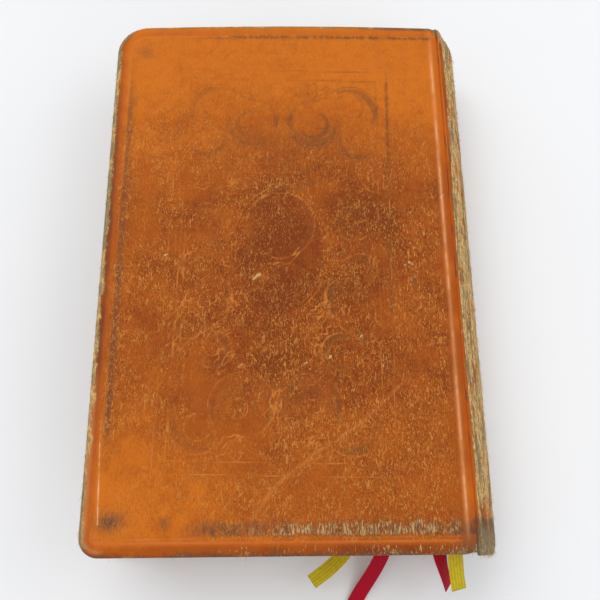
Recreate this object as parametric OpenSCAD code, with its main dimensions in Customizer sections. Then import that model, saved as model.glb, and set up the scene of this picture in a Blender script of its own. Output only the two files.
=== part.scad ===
// A small leather-bound prayer book lying flat: two cushioned covers hinged on a rounded spine,
// a sewn text block whose outer leaves fan open with the covers, and four ribbon markers.
// +X points to the spine, +Y to the head and +Z up. The origin is under the middle of the book,
// on the surface that it lies on. The back cover is uppermost.

/* [Book] */
// Overall width, fore-edge to the outside of the spine
book_w = 108; // [80:1:150]
// Height of the covers, head to tail
book_h = 158; // [110:1:220]
// Radius of the covers' fore-edge corners
corner_r = 7; // [2:0.5:12]
// How far the covers overhang the leaves at the head, tail and fore-edge
square_w = 2.8; // [1:0.1:6]

/* [Covers] */
// Thickness of each board
board_t = 1.7; // [1:0.1:3]
// Thickness of the soft padding on each board
padding_t = 0.65; // [0.3:0.05:2]
// Thickness of the cover leather
leather_t = 0.75; // [0.5:0.05:1.2]
// Thickness of the leather turned in over a board's edge
turn_in_t = 0.4; // [0.25:0.05:0.7]
// Width of the leather turned in
turn_in_w = 12; // [6:0.5:20]
// Leather and air between a board's edge and the outside of the cover
board_inset = 1.3; // [1:0.1:2.5]

/* [Joint and spine] */
// Width of the groove between a cover and the spine
joint_w = 2.8; // [2.4:0.1:5]
// How far the spine's rounding stands out past the groove
spine_bulge = 7; // [4:0.5:12]
// Depth of the groove below the face of the cover
groove_depth = 1.5; // [1.2:0.1:2.5]
// Depth of the hinge line below the face of the cover
hinge_depth = 0.7; // [0.5:0.1:1.2]
// Thickness of the card spine inlay
inlay_t = 0.6; // [0.3:0.05:1]
// Outside thickness of the flattened paper tube behind the spine
hollow_t = 0.8; // [0.6:0.05:1.4]
// Thickness of one wall of that tube
hollow_wall_t = 0.25; // [0.15:0.05:0.3]
// Thickness of the paper lining on the mull
lining_t = 0.2; // [0.1:0.05:0.4]
// Thickness of the mull cloth
mull_t = 0.25; // [0.15:0.05:0.4]
// Thickness of the sewing tapes
tape_t = 0.4; // [0.3:0.05:0.6]

/* [Text block] */
// Number of folded sections
section_count = 18; // [14:1:24]
// Distance from one section to the next
section_pitch = 1.15; // [0.9:0.05:1.6]
// Thickness of a flyleaf
flyleaf_t = 0.25; // [0.15:0.05:0.4]
// Number of sections at the back that fan open with the back cover
back_fan = 3; // [1:1:4]
// Number of sections at the front that fan open with the front cover
front_fan = 1; // [1:1:2]

/* [Ribbons] */
// Width of a ribbon marker
ribbon_w = 4; // [3:0.5:8]
// Thickness of a ribbon marker
ribbon_t = 0.2; // [0.1:0.05:0.25]
// Height of the gap between two sections that holds a ribbon
ribbon_gap = 0.3; // [0.25:0.05:0.5]
// The sections that have a ribbon lying on them
ribbon_after = [2, 5, 9, 12];

/* [Hidden] */
$fn = 96;
// Air between two leaves or two layers that only lie on each other
leaf_gap = 0.03;
layer_gap = 0.05;
cover_gap = 0.1;

section_names = [for (i = [1 : section_count]) str("section_", i < 10 ? "0" : "", i)];

// Heights of the stack, from the surface up
cover_t = turn_in_t + board_t + padding_t + leather_t;
block_low = cover_t + cover_gap + flyleaf_t + cover_gap;
block_t = section_count * section_pitch + len(ribbon_after) * ribbon_gap;
book_t = 2 * block_low + block_t;
middle_z = book_t / 2;

// Places across the book
fore_x = -book_w / 2;
groove_x = book_w / 2 - spine_bulge;
board_edge_x = groove_x - joint_w;
// The hinge lines: the covers turn in the groove, the leaves a little nearer the fore-edge
hinge_x = board_edge_x + 1.7;
hinge_z = book_t - hinge_depth;
leaf_hinge_x = hinge_x - 1.9;
leaf_cut_x = leaf_hinge_x - 2.5;

// The spine is part of a cylinder along Y, and every layer behind it shares its axis
half_chord = middle_z - groove_depth;
spine_r = (half_chord * half_chord + spine_bulge * spine_bulge) / (2 * spine_bulge);
spine_x = book_w / 2 - spine_r;
inlay_r = spine_r - leather_t - layer_gap;
hollow_r = inlay_r - inlay_t - layer_gap;
lining_r = hollow_r - hollow_t - layer_gap;
mull_r = lining_r - lining_t - layer_gap;
tape_r = mull_r - mull_t - layer_gap;
block_r = tape_r - tape_t - layer_gap;

// Where a cylinder about the spine's axis, of radius r, lies at a height z
function curve_x(r, z) = spine_x + sqrt(r * r - (z - middle_z) * (z - middle_z));
shoulder_x = curve_x(block_r, book_t - block_low);
page_h = book_h - 2 * square_w;
page_w = shoulder_x - fore_x - square_w;

// How many ribbons lie below section i, and where that section's underside is
function ribbons_below(i) = len([for (r = ribbon_after) if (r < i) r]);
function section_z(i) = block_low + (i - 1) * section_pitch + ribbons_below(i) * ribbon_gap;
function section_fans(i) = i <= front_fan || i > section_count - back_fan;

// Spine fittings
tape_w = 12;
tape_places = [-42, 0, 42];
kettle_y = page_h / 2 - 9;
thread_r = 0.18;
band_r = 0.9;
band_tongue = 8;
cap_cord_r = 0.6;
cap_turn = 1;
// How far the spine leather stops short of the covers' ends
spine_end = 0.5;
spine_length = book_h - 2 * spine_end;

// Ribbon routes: from the head of the spine, between two sections, and out at the tail.
// Each point is [x, y, z, bank], with the bank in degrees about the ribbon's run.
ribbon_step = 11;
red_1_route = [
    [44, 74, 6.4, 0], [38, 24, 6.4, 0], [32, -26, 6.4, 0], [26, -76.5, 6.4, 0],
    [24.5, -80.5, 5.6, 4], [22, -85, 3.4, 8], [19, -89.5, 1.3, 4],
    [16.5, -94, 0.4, 0], [15.5, -99, 0.2, 0], [16.5, -105, 0.2, 0], [19.5, -111, 0.2, 0]
];
yellow_1_route = [
    [45, 74, 10.15, 0], [35, 24, 10.15, 0], [25, -26, 10.15, 0], [15, -76.5, 10.15, 0],
    [13.8, -79, 10, -12], [11.5, -81.5, 9.2, -20], [8.5, -84, 8, -8], [5, -86.5, 6.5, 0]
];
red_2_route = [
    [46, 74, 15.05, 0], [43.5, 24, 15.05, 0], [41, -26, 15.05, 0], [39, -76.5, 15.05, 0],
    [39.4, -79.5, 14.6, 12], [40.6, -83.5, 12.4, 34], [42.4, -88, 8.8, 40]
];
yellow_2_route = [
    [45.5, 74, 18.8, 0], [44.5, 24, 18.8, 0], [43.5, -26, 18.8, 0], [42.4, -76.5, 18.8, 0],
    [42.7, -79.5, 18.2, 0], [43.3, -84, 15.7, 0], [44.4, -88.5, 12.2, 0]
];

// ---------------------------------------------------------------- shared shapes

// Puts its children on the front cover's side of the book
module front_side() translate([0, 0, book_t]) mirror([0, 0, 1]) children();

// A rectangle centred on Y, with one corner radius on the fore-edge and one on the spine side
module rounded_sheet(x_fore, x_spine, height, r_fore, r_spine) {
    half = height / 2;
    translate([x_fore + r_fore, -half])
        square([x_spine - x_fore - r_fore - r_spine, height]);
    translate([x_fore, r_fore - half])
        square([x_spine - x_fore - r_spine, height - 2 * r_fore]);
    translate([x_spine - r_spine - 1, r_spine - half])
        square([r_spine + 1, height - 2 * r_spine]);
    for (side = [-1, 1]) {
        translate([x_fore + r_fore, side * (half - r_fore)]) circle(r_fore);
        translate([x_spine - r_spine, side * (half - r_spine)]) circle(r_spine);
    }
}

// The plan of a cover drawn in by a distance
module cover_plan(inset) {
    rounded_sheet(
        fore_x + inset, board_edge_x - min(inset, board_inset) * 0.6, book_h - 2 * inset,
        max(corner_r - inset, 0.5), 0.8
    );
}

// A flat layer of the back cover, between two heights above the cover's inner face
module cover_layer(inset, low, high) {
    translate([0, 0, book_t - cover_t + low])
        linear_extrude(high - low) cover_plan(inset);
}

// A length of the spine's curve: a ring of two radii, kept within a height of the middle
module spine_shell(r_out, r_in, length, half_height) {
    translate([spine_x, length / 2, middle_z]) rotate([90, 0, 0]) linear_extrude(length)
        intersection() {
            difference() {
                circle(r_out);
                circle(r_in);
            }
            translate([0, -half_height]) square([r_out + 1, 2 * half_height]);
        }
}

// A round cord that follows the spine's curve at one place along the book
module spine_cord(r_path, r_cord, y, half_angle) {
    translate([spine_x, y, middle_z]) rotate([90, 0, 0]) rotate([0, 0, -half_angle])
        rotate_extrude(angle = 2 * half_angle) translate([r_path, 0]) circle(r_cord, $fn = 24);
}

// ---------------------------------------------------------------- covers

// The outside of the back cover, rounded over at the fore-edge, head and tail
module cover_outside() {
    roll = cover_t / 2;
    intersection() {
        cover_layer(0, 0, cover_t);
        translate([0, book_h / 2 + 1, book_t - roll]) rotate([90, 0, 0])
            linear_extrude(book_h + 2) {
                translate([fore_x + roll, 0]) circle(roll);
                translate([fore_x + roll, -roll])
                    square([board_edge_x - fore_x - roll, cover_t]);
            }
        translate([fore_x - 1, 0, book_t - roll]) rotate([90, 0, 90]) linear_extrude(book_w) {
            for (side = [-1, 1]) translate([side * (book_h / 2 - roll), 0]) circle(roll);
            translate([roll - book_h / 2, -roll]) square([book_h - 2 * roll, cover_t]);
        }
    }
}

// Leather skin, open on the inner face between its turn-ins
module cover_leather() {
    difference() {
        cover_outside();
        cover_layer(board_inset, turn_in_t, turn_in_t + board_t);
        cover_layer(2 * board_inset, turn_in_t + board_t - 0.01, cover_t - leather_t);
        cover_layer(turn_in_w, -1, turn_in_t + 0.01);
    }
}

module cover_board() {
    cover_layer(board_inset + layer_gap, turn_in_t + layer_gap, turn_in_t + board_t - layer_gap);
}

module cover_padding() {
    cover_layer(
        2 * board_inset + layer_gap, turn_in_t + board_t, cover_t - leather_t - layer_gap
    );
}

module cover_pastedown() {
    cover_layer(turn_in_w + layer_gap, 0.05, turn_in_t);
}

module back_leather() { color("peru") cover_leather(); }
module back_padding() { color("lightyellow") cover_padding(); }
module back_board() { color("tan") cover_board(); }
module back_pastedown() { color("ivory") cover_pastedown(); }
module front_leather() { color("peru") front_side() cover_leather(); }
module front_padding() { color("lightyellow") front_side() cover_padding(); }
module front_board() { color("tan") front_side() cover_board(); }
module front_pastedown() { color("ivory") front_side() cover_pastedown(); }

// ---------------------------------------------------------------- leaves

// The turning part of a flyleaf, next to the back cover
module flyleaf() {
    z = book_t - cover_t - cover_gap - flyleaf_t;
    translate([0, 0, z]) linear_extrude(flyleaf_t)
        rounded_sheet(shoulder_x - page_w, leaf_cut_x, page_h, 4, 0.5);
}

module back_flyleaf() { color("ivory") flyleaf(); }
module front_flyleaf() { color("ivory") front_side() flyleaf(); }

// A folded section whose back end is a round fold, kept between two places across the book
module leaves(i, x_low, x_high) {
    t = section_pitch - leaf_gap;
    z = section_z(i) + leaf_gap / 2;
    fold_x = curve_x(block_r - t / 2, z + t / 2);
    low = max(x_low, fold_x + t / 2 - page_w);
    translate([low, -page_h / 2, z]) cube([min(x_high, fold_x) - low, page_h, t]);
    if (x_high > fold_x) translate([fold_x, page_h / 2, z + t / 2]) rotate([90, 0, 0])
        cylinder(page_h, r = t / 2, $fn = 32);
}

// A section: whole where it stays on the spine, cut short of its fold where it fans open
module section(i) {
    color(i % 2 == 0 ? "beige" : "cornsilk")
        leaves(i, fore_x, section_fans(i) ? leaf_cut_x : book_w);
}

// The sewn folds of the leaves that fan open: they stay on the spine
module sewn_folds() {
    fold_low_x = leaf_cut_x + cover_gap;
    color("wheat") {
        for (i = [1 : section_count]) if (section_fans(i)) leaves(i, fold_low_x, book_w);
        flyleaf_fold(fold_low_x);
        front_side() flyleaf_fold(fold_low_x);
    }
}

module flyleaf_fold(x_low) {
    z = book_t - cover_t - cover_gap - flyleaf_t;
    translate([x_low, -page_h / 2, z])
        cube([shoulder_x - x_low, page_h, flyleaf_t]);
}

// ---------------------------------------------------------------- sewing and spine linings

// Three linen tapes across the folds
module sewing_tapes() {
    color("linen") for (y = tape_places) translate([0, y, 0])
        spine_shell(tape_r, tape_r - tape_t, tape_w, block_t / 2 - 1);
}

// The thread's loops beside the tapes and the two rows of kettle stitches
module sewing_thread() {
    sides = [-1, 1];
    beside_tapes = [for (y = tape_places) for (side = sides) y + side * (tape_w / 2 + 0.5)];
    kettles = [for (side = sides) side * kettle_y];
    color("white") for (y = concat(beside_tapes, kettles))
        spine_cord(tape_r - tape_t / 2, thread_r, y, 38);
}

// A silk bead over a cord, with a tongue glued to the folds
module end_band(side) {
    color("firebrick") {
        spine_cord(tape_r - band_r, band_r, side * (page_h / 2 + band_r + layer_gap), 40);
        translate([0, side * (page_h / 2 - band_tongue / 2 + band_r), 0])
            spine_shell(tape_r, tape_r - tape_t, band_tongue + 2 * band_r, block_t / 2 - 2.5);
    }
}

module headband() { end_band(1); }
module tailband() { end_band(-1); }

module mull() {
    color("whitesmoke") spine_shell(mull_r, mull_r - mull_t, page_h - 24, block_t / 2);
}

module spine_lining() {
    color("burlywood") spine_shell(lining_r, lining_r - lining_t, page_h - 2, block_t / 2);
}

// A flattened paper tube: its walls part when the book is opened
module hollow_tube() {
    length = page_h - 4;
    color("sandybrown") difference() {
        spine_shell(hollow_r, hollow_r - hollow_t, length, block_t / 2);
        spine_shell(hollow_r - hollow_wall_t, hollow_r - hollow_t + hollow_wall_t,
            length + 2, block_t / 2 - 1);
    }
}

module spine_inlay() {
    length = spine_length - 2 * (cap_turn + 2 * cap_cord_r + 2 * layer_gap);
    color("tan") spine_shell(inlay_r, inlay_r - inlay_t, length, block_t / 2 + 0.5);
}

// Cords inside the turned-over leather at the two ends of the spine
module cap_cord(side) {
    y = side * (spine_length / 2 - cap_turn - cap_cord_r - layer_gap);
    color("wheat") spine_cord(inlay_r - cap_cord_r, cap_cord_r, y, 42);
}

module headcap_cord() { cap_cord(1); }
module tailcap_cord() { cap_cord(-1); }

// Spine leather with its two joint strips in the grooves and its turned-over ends
module spine_leather() {
    color("chocolate") {
        spine_shell(spine_r, spine_r - leather_t, spine_length, half_chord);
        for (side = [-1, 1]) translate([0, side * (spine_length / 2 - cap_turn / 2), 0])
            spine_shell(spine_r - leather_t, inlay_r - 2 * cap_cord_r, cap_turn, half_chord - 1);
        joint_strip();
        front_side() joint_strip();
    }
}

// The thin leather at the bottom of a groove. It lies inside the circle that the cover's
// back edge turns on, so the cover never meets it.
module joint_strip() {
    x_low = hinge_x - 1.1;
    translate([x_low, -spine_length / 2, book_t - hinge_depth - 1.2])
        cube([groove_x - x_low, spine_length, 0.6]);
}

// ---------------------------------------------------------------- ribbon markers

// Points along a smooth curve through the route, one every step or closer
function along(route, step) = [
    for (i = [0 : len(route) - 2])
        let (
            a = route[max(i - 1, 0)], b = route[i], c = route[i + 1],
            d = route[min(i + 2, len(route) - 1)],
            n = ceil(norm([c.x - b.x, c.y - b.y, c.z - b.z]) / step)
        )
        for (k = [0 : n - (i == len(route) - 2 ? 0 : 1)])
            let (t = k / n)
            n > 3 ? b + (c - b) * t
                : 0.5 * (2 * b + (c - a) * t + (2 * a - 5 * b + 4 * c - d) * t * t
                    + (3 * b - a - 3 * c + d) * t * t * t)
];

// The eight corners of the ribbon's flat section at point k of a path
function ribbon_ring(path, k) =
    let (
        p = [path[k].x, path[k].y, path[k].z],
        before = path[max(k - 1, 0)],
        after = path[min(k + 1, len(path) - 1)],
        run = [after.x - before.x, after.y - before.y, after.z - before.z],
        ahead = run / norm(run),
        level = cross(ahead, [0, 0, 1]) / norm(cross(ahead, [0, 0, 1])),
        up = cross(level, ahead),
        across = level * cos(path[k][3]) + up * sin(path[k][3]),
        face = cross(across, ahead),
        w = ribbon_w / 2,
        t = ribbon_t / 2
    )
    [for (q = [[w, 0], [w - t, t], [0, t], [t - w, t], [-w, 0], [t - w, -t], [0, -t], [w - t, -t]])
        p + across * q[0] + face * q[1]];

module ribbon(route) {
    path = along(route, ribbon_step);
    n = len(path);
    points = [for (k = [0 : n - 1]) each ribbon_ring(path, k)];
    sides = [for (k = [0 : n - 2]) for (j = [0 : 7])
        let (a = 8 * k + j, b = 8 * k + (j + 1) % 8)
        each [[a, b + 8, b], [a, a + 8, b + 8]]];
    start_cap = [for (j = [0 : 7]) j];
    end_cap = [for (j = [7 : -1 : 0]) 8 * (n - 1) + j];
    polyhedron(points, concat([start_cap], sides, [end_cap]), convexity = 4);
}

module red_ribbon_1() { color("crimson") ribbon(red_1_route); }
module yellow_ribbon_1() { color("goldenrod") ribbon(yellow_1_route); }
module red_ribbon_2() { color("crimson") ribbon(red_2_route); }
module yellow_ribbon_2() { color("goldenrod") ribbon(yellow_2_route); }

// ---------------------------------------------------------------- nodes

back_leather();
back_padding();
back_board();
back_pastedown();
back_flyleaf();
front_leather();
front_padding();
front_board();
front_pastedown();
front_flyleaf();
for (i = [1 : section_count])
    section(i);
sewn_folds();
sewing_thread();
sewing_tapes();
headband();
tailband();
mull();
spine_lining();
hollow_tube();
spine_inlay();
headcap_cord();
tailcap_cord();
spine_leather();
red_ribbon_1();
yellow_ribbon_1();
red_ribbon_2();
yellow_ribbon_2();
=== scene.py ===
# An old leather-bound prayer book lying on its front cover, built round its imported frame.
# The ribbons, inner leaves, headbands, spine skin with its fibres and the felt wads ride on bodies
# of the book.
from math import cos, pi, radians, sin, sqrt

import bpy
import numpy as np
from mathutils import Matrix, Vector, kdtree


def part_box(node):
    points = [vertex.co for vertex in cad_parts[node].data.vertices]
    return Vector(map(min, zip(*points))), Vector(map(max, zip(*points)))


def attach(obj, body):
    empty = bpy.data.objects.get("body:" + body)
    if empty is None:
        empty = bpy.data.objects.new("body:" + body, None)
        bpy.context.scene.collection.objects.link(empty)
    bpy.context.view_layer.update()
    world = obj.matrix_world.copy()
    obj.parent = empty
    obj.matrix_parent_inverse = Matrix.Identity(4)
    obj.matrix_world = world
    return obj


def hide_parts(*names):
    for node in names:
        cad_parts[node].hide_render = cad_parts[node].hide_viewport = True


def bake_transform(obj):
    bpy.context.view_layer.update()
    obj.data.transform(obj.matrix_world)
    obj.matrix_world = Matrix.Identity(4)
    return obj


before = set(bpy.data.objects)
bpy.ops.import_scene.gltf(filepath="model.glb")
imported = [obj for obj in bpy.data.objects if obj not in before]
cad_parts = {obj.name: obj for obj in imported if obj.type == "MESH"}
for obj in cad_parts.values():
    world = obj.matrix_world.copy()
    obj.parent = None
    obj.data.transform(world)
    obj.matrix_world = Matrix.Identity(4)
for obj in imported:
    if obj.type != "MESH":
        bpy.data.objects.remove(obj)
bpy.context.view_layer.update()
MM = 0.001


# ---------------------------------------------------------------- camera, floor and light
# The book is seen from above and a little from the tail, under broad soft lights in a white room.
scene = bpy.context.scene
scene.view_settings.view_transform = "Standard"
lens = bpy.data.cameras.new("camera")
lens.sensor_width = 36
lens.lens = 42
lens.clip_start = 0.01
camera = bpy.data.objects.new("camera", lens)
scene.collection.objects.link(camera)
scene.camera = camera
stand = Matrix.Translation((-0.0012, -0.0717, 0.2143))
for angle, axis in ((-3.25, "Z"), (17.9, "X"), (2.82, "Z")):
    stand = stand @ Matrix.Rotation(radians(angle), 4, axis)
camera.matrix_world = stand


class Tone:
    """A value inside a node tree. Sums and products of it add Math nodes to that tree."""

    def __init__(self, owner, socket):
        self.owner = owner
        self.socket = socket

    def __add__(self, other):
        return self.owner.maths("ADD", self, other)

    def __sub__(self, other):
        return self.owner.maths("SUBTRACT", self, other)

    def __mul__(self, other):
        return self.owner.maths("MULTIPLY", self, other)

    def __rsub__(self, other):
        return self.owner.maths("SUBTRACT", other, self)

    __radd__ = __add__
    __rmul__ = __mul__

    def held(self):
        """The value kept between 0 and 1."""
        return self.owner.maths("ADD", self, 0, clamp=True)

    def wave(self, length):
        """Rising and falling between 0 and 1, once in every length."""
        return self.owner.maths("SINE", self * (2 * pi / length), 0) * 0.5 + 0.5

    def above(self, low, high):
        """0 below low, 1 above high and smooth between them."""
        ramp = {"Value": self, 1: low, 2: high}
        return self.owner.node("MapRange", ramp, interpolation_type="SMOOTHSTEP")


class Nodes:
    """A node tree. A kind of node named without its family gets the tree's own."""

    def node(self, kind, inputs, output=0, **settings):
        made = self.tree.nodes.new(kind if "Node" in kind else self.family + kind)
        for name, value in settings.items():
            setattr(made, name, value)
        for name, value in inputs.items():
            self.feed(made.inputs[name], value)
        return Tone(self, made.outputs[output])

    def feed(self, socket, value):
        if isinstance(value, Tone):
            self.tree.links.new(value.socket, socket)
        else:
            socket.default_value = (*value, 1) if socket.type == "RGBA" else value

    def maths(self, operation, first, second, clamp=False):
        inputs = {0: first, 1: second}
        return self.node("ShaderNodeMath", inputs, operation=operation, use_clamp=clamp)

    def noise(self, where, scale, detail=3.0, roughness=0.55, distortion=0.0):
        inputs = {"Vector": where, "Scale": scale, "Detail": detail}
        inputs |= {"Roughness": roughness, "Distortion": distortion}
        return self.node("ShaderNodeTexNoise", inputs)


class Finish(Nodes):
    """A material made of nodes round one Principled shader."""

    family = "ShaderNode"

    def __init__(self, name, **constants):
        self.material = bpy.data.materials.new(name)
        self.material.use_nodes = True
        self.tree = self.material.node_tree
        self.shade(**constants)

    def shade(self, **inputs):
        shader = self.tree.nodes["Principled BSDF"]
        for name, value in inputs.items():
            self.feed(shader.inputs[name.replace("_", " ")], value)

    def place(self, across=1.0, along=1.0, up=1.0):
        """The place on the piece in millimetres, each axis scaled."""
        here = self.node("TexCoord", {}, "Object")
        scale = (across / MM, along / MM, up / MM)
        return self.node("VectorMath", {0: here, 1: scale}, operation="MULTIPLY")

    def parts(self, vector):
        """The three numbers of a vector."""
        split = self.node("SeparateXYZ", {"Vector": vector}).socket.node
        return [Tone(self, socket) for socket in split.outputs]

    def mix(self, share, first, second):
        """One colour turning into another as share goes from 0 to 1."""
        return self.node("Mix", {0: share, 6: first, 7: second}, 2, data_type="RGBA")

    def over(self, colour, *layers):
        """Colours laid over one another, each layer by its share."""
        for share, tint in layers:
            colour = self.mix(share, colour, tint)
        return colour

    def value_of(self, attribute):
        """A value painted on the piece's own points."""
        return self.node(
            "Attribute", {}, "Fac", attribute_name=attribute, attribute_type="GEOMETRY",
        )

    def bump(self, height, strength, distance):
        inputs = {"Height": height, "Strength": strength, "Distance": distance}
        return self.node("Bump", inputs)


def floor_paper():
    finish = Finish("floor_paper", Roughness=0.9)
    cloud = finish.noise(finish.place(), 0.012, 2.0)
    finish.shade(Base_Color=finish.mix(cloud, (0.83, 0.83, 0.84), (0.87, 0.87, 0.87)))
    return finish.material


def solid(name, points, faces, material):
    """A mesh object from points in millimetres, turned so that its faces point outwards."""
    mesh = bpy.data.meshes.new(name)
    mesh.from_pydata((np.asarray(points, float) * MM).tolist(), [], faces)
    mesh.update()
    mesh.calc_loop_triangles()
    corners, triangles = mesh.vertices, mesh.loop_triangles
    if sum(t.normal.dot(corners[t.vertices[0]].co) * t.area for t in triangles) < 0:
        mesh.flip_normals()
    mesh.shade_smooth()
    mesh.materials.append(material)
    made = bpy.data.objects.new(name, mesh)
    scene.collection.objects.link(made)
    return made


floor_half = 3000
corners = [(x * floor_half, y * floor_half, 0) for x, y in ((-1, -1), (1, -1), (1, 1), (-1, 1))]
floor = solid("floor", corners, [(0, 1, 2, 3)], floor_paper())

room = bpy.data.worlds.new("room")
room.use_nodes = True
walls = room.node_tree.nodes["Background"].inputs
walls["Color"].default_value = (0.93, 0.96, 1.0, 1)
walls["Strength"].default_value = 0.745
scene.world = room


def lamp(name, place, aim, size, power, colour):
    """A soft rectangular lamp, placed and sized in metres and aimed at a point."""
    light = bpy.data.lights.new(name, "AREA")
    light.shape = "RECTANGLE"
    light.size, light.size_y = size
    light.energy = power
    light.color = colour
    made = bpy.data.objects.new(name, light)
    scene.collection.objects.link(made)
    made.location = place
    made.rotation_euler = (Vector(aim) - Vector(place)).to_track_quat("-Z", "Y").to_euler()


lamp("window", (-0.45, 0.6, 1.1), (0, 0.02, 0), (1.1, 0.9), 6.4, (1.0, 0.98, 0.95))
lamp("side_lamp", (0.75, 0.1, 0.7), (0, 0, 0), (0.6, 0.6), 1.6, (1.0, 0.97, 0.94))
lamp("tail_lamp", (0.5, -1.0, 0.6), (0, -0.08, 0), (0.9, 0.5), 1.6, (1.0, 0.98, 0.96))


# ---------------------------------------------------------------- ribbon markers
# Four narrow woven ribbons, glued at the head of the spine, laid between the sections and left
# long at the tail, where their cut ends hang out. Each point is [x, y, z, bank], bank in degrees.
ribbon_w, ribbon_t = 4.0, 0.2
ribbon_step = 1.5
ribbon_points = 17
straight_over = 33
ribbon_routes = {
    "red_ribbon_1": [
        [44, 74, 6.4, 0], [38, 24, 6.4, 0], [32, -26, 6.4, 0], [26, -76.5, 6.4, 0],
        [24.5, -80.5, 5.6, 4], [22, -85, 3.4, 8], [19, -89.5, 1.3, 4],
        [16.5, -94, 0.4, 0], [15.5, -99, 0.2, 0], [16.5, -105, 0.2, 0], [19.5, -111, 0.2, 0],
    ],
    "yellow_ribbon_1": [
        [45, 74, 10.15, 0], [35, 24, 10.15, 0], [25, -26, 10.15, 0], [15, -76.5, 10.15, 0],
        [13.8, -79, 10, -12], [11.5, -81.5, 9.2, -20], [8.5, -84, 8, -8], [5, -86.5, 6.5, 0],
    ],
    "red_ribbon_2": [
        [46, 74, 15.05, 0], [43.5, 24, 15.05, 0], [41, -26, 15.05, 0], [39, -76.5, 15.05, 0],
        [39.4, -79.5, 14.6, 12], [40.6, -83.5, 12.4, 34], [42.4, -88, 8.8, 40],
    ],
    "yellow_ribbon_2": [
        [45.5, 74, 18.8, 0], [44.5, 24, 18.8, 0], [43.5, -26, 18.8, 0], [42.4, -76.5, 18.8, 0],
        [42.7, -79.5, 18.2, 0], [43.3, -84, 15.7, 0], [44.4, -88.5, 12.2, 0],
    ],
}


def ribbon_weave(name, thread, shadow, rib):
    """Ribbed rayon: cords along its length, crossed by a fine weft."""
    finish = Finish(name, Specular_IOR_Level=0.15)
    across, along, _ = finish.parts(finish.node("UVMap", {}, uv_map="run"))
    weft, cords = along.wave(0.36), across.wave(0.82)
    worn = finish.noise(finish.place(), 0.9, 4.0)
    depth = weft * 0.25 + cords * rib + worn * 0.5 + (0.42 - rib)
    finish.shade(
        Base_Color=finish.mix(depth.above(0.15, 0.95), shadow, thread),
        Roughness=0.72 - cords * 0.14,
        Normal=finish.bump(weft * 0.4 + cords, 0.5, 0.00012),
    )
    return finish.material


def along_route(route, step):
    """Points on a smooth curve through the route, one every step or closer. The long runs
    between the leaves are straight."""
    stops = [np.array(p, float) for p in route]
    points = []
    for i in range(len(stops) - 1):
        a, b, c = stops[max(i - 1, 0)], stops[i], stops[i + 1]
        d = stops[min(i + 2, len(stops) - 1)]
        length = np.linalg.norm((c - b)[:3])
        before = np.linalg.norm((b - a)[:3])
        a = b + (a - b) * min(1, length / before) if before else a
        count = int(np.ceil(length / step))
        for k in range(count + (i == len(stops) - 2)):
            t = k / count
            smooth = 2 * b + (c - a) * t + (2 * a - 5 * b + 4 * c - d) * t * t
            smooth = 0.5 * (smooth + (3 * b - a - 3 * c + d) * t**3)
            points.append(b + (c - b) * t if length > straight_over else smooth)
    return np.array(points)


def tube_faces(rings, count):
    """The faces of a tube of rings, each of so many points."""
    return [
        (k * count + j, k * count + (j + 1) % count,
         (k + 1) * count + (j + 1) % count, (k + 1) * count + j)
        for k in range(rings - 1)
        for j in range(count)
    ]


def ribbon(name, node, material):
    path = along_route(ribbon_routes[node], ribbon_step)
    runs = np.gradient(path[:, :3], axis=0)
    runs /= np.linalg.norm(runs, axis=1)[:, None]
    far = np.r_[0, np.cumsum(np.linalg.norm(np.diff(path[:, :3], axis=0), axis=1))]
    count = ribbon_points
    share = np.linspace(-1, 1, count)
    ridge = 0.05 * np.cos(share * pi * 4.5)
    points, marks = [], []
    for here, run, reach in zip(path, runs, far):
        level = np.cross(run, (0, 0, 1))
        level /= np.linalg.norm(level)
        up = np.cross(level, run)
        bank = radians(here[3])
        across = level * cos(bank) + up * sin(bank)
        face = np.cross(across, run)
        thin = ribbon_t / 2 * (1 - 0.5 * share**8)
        for side in (1, -1):
            for s, t, r in zip(share[::side], thin[::side], ridge[::side]):
                points.append(here[:3] + across * s * ribbon_w / 2 + face * (side * t * 0.75 + r))
                marks.append((s * ribbon_w / 2, reach))
    ring = 2 * count
    last = (len(path) - 1) * ring
    faces = tube_faces(len(path), ring)
    for j in range(count - 1):
        cut_end = (j, ring - 1 - j, ring - 2 - j, j + 1)
        faces += [cut_end, tuple(last + k for k in cut_end[::-1])]
    made = solid(name, points, faces, material)
    layer = made.data.uv_layers.new(name="run")
    for loop in made.data.loops:
        layer.data[loop.index].uv = marks[loop.vertex_index]
    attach(made, "text_block")
    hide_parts(node)
    return made


red_weave = ribbon_weave("red_weave", (0.47, 0.002, 0.02), (0.22, 0.001, 0.01), 0.12)
yellow_weave = ribbon_weave("yellow_weave", (0.66, 0.5, 0.016), (0.3, 0.2, 0.006), 0.24)
for node in ribbon_routes:
    red = node.startswith("red")
    marker = ribbon(node + "_woven", node, red_weave if red else yellow_weave)


# ---------------------------------------------------------------- paper leaves
# Thin rag paper in eighteen sections of four folded sheets, sewn through their folds. The fore-edge
# keeps the hollow that the rounded spine gives it.
mid_z = 14.9
spine_x = 37.67
page_h = 152.4
page_w = 95.93
leaf_pitch = 0.14
leaf_t = 0.12
leaf_rag = (0.12, 0.08)
leaves_each = 8
half_section = leaves_each * leaf_pitch / 2
section_pitch = 1.15
section_low = 3.95
ribbon_room = 0.3
ribbon_after = (2, 5, 9, 12)
back_radius = 13.03
fold_end = 44.3


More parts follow.
